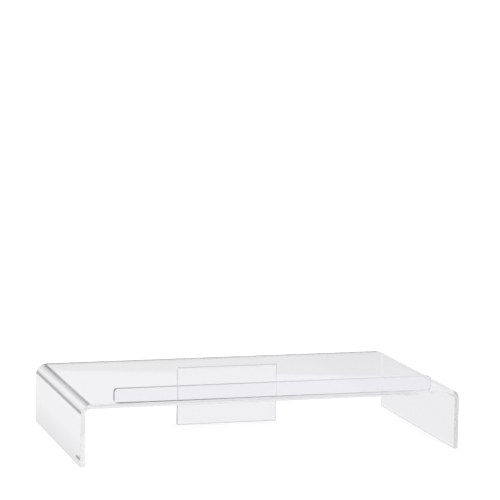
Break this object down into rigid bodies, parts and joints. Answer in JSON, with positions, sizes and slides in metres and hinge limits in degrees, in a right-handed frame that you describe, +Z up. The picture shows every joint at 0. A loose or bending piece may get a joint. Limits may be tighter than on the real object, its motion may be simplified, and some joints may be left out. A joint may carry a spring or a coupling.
{
  "type": "monitor riser stand",
  "caption": "Low clear acrylic stand that raises a monitor: a bent sheet forms deck and legs, with a centre support beneath and an upright lip along the front edge.",
  "frame": {"origin": "on the desk, midway between the legs and midway from front to back", "axes": "+X to the user's right along the deck, +Y away from the user, +Z up"},
  "size_m": [0.54, 0.298, 0.105],
  "materials": {
    "clear_acrylic": "clear cast acrylic, glossy faces, flame-polished edges",
    "mark_ink": "matt grey print with no lettering"
  },
  "bodies": {
    "root": {"bent_sheet": "clear_acrylic", "centre_support": "clear_acrylic", "front_lip": "clear_acrylic", "blank_mark": "mark_ink"}
  },
  "joints": []
}
